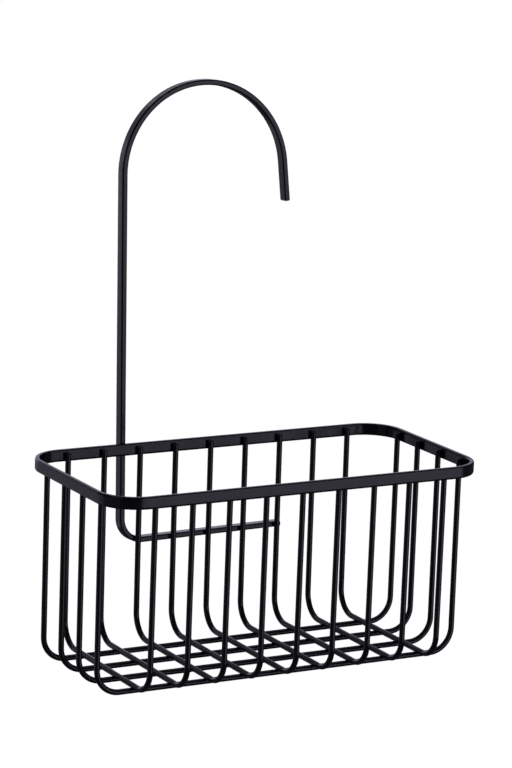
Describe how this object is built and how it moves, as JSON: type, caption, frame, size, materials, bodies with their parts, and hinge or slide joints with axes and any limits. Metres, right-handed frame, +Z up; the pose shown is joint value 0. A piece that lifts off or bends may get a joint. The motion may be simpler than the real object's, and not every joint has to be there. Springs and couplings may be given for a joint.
{
  "type": "shower caddy",
  "caption": "Wire shower caddy: a long open basket of bent round wire under a flat-bar rim, hung from a tall flat-bar hook behind it.",
  "frame": {"origin": "under the middle of the whole object, on the surface that the basket's long wires stand on", "axes": "+Z up, towards the hook; +X to the right along the basket's long side; +Y from the basket's open front to the hanger behind it"},
  "size_m": [0.281, 0.1641, 0.3851],
  "materials": {
    "powder_coat": "satin black powder coat"
  },
  "bodies": {
    "root": {"rim": "powder_coat", "hanger": "powder_coat", "cross_wire_1": "powder_coat", "cross_wire_2": "powder_coat", "cross_wire_3": "powder_coat", "cross_wire_4": "powder_coat", "cross_wire_5": "powder_coat", "cross_wire_6": "powder_coat", "cross_wire_7": "powder_coat", "cross_wire_8": "powder_coat", "cross_wire_9": "powder_coat", "long_wire_1": "powder_coat", "long_wire_2": "powder_coat", "long_wire_3": "powder_coat", "long_wire_4": "powder_coat"}
  },
  "joints": []
}
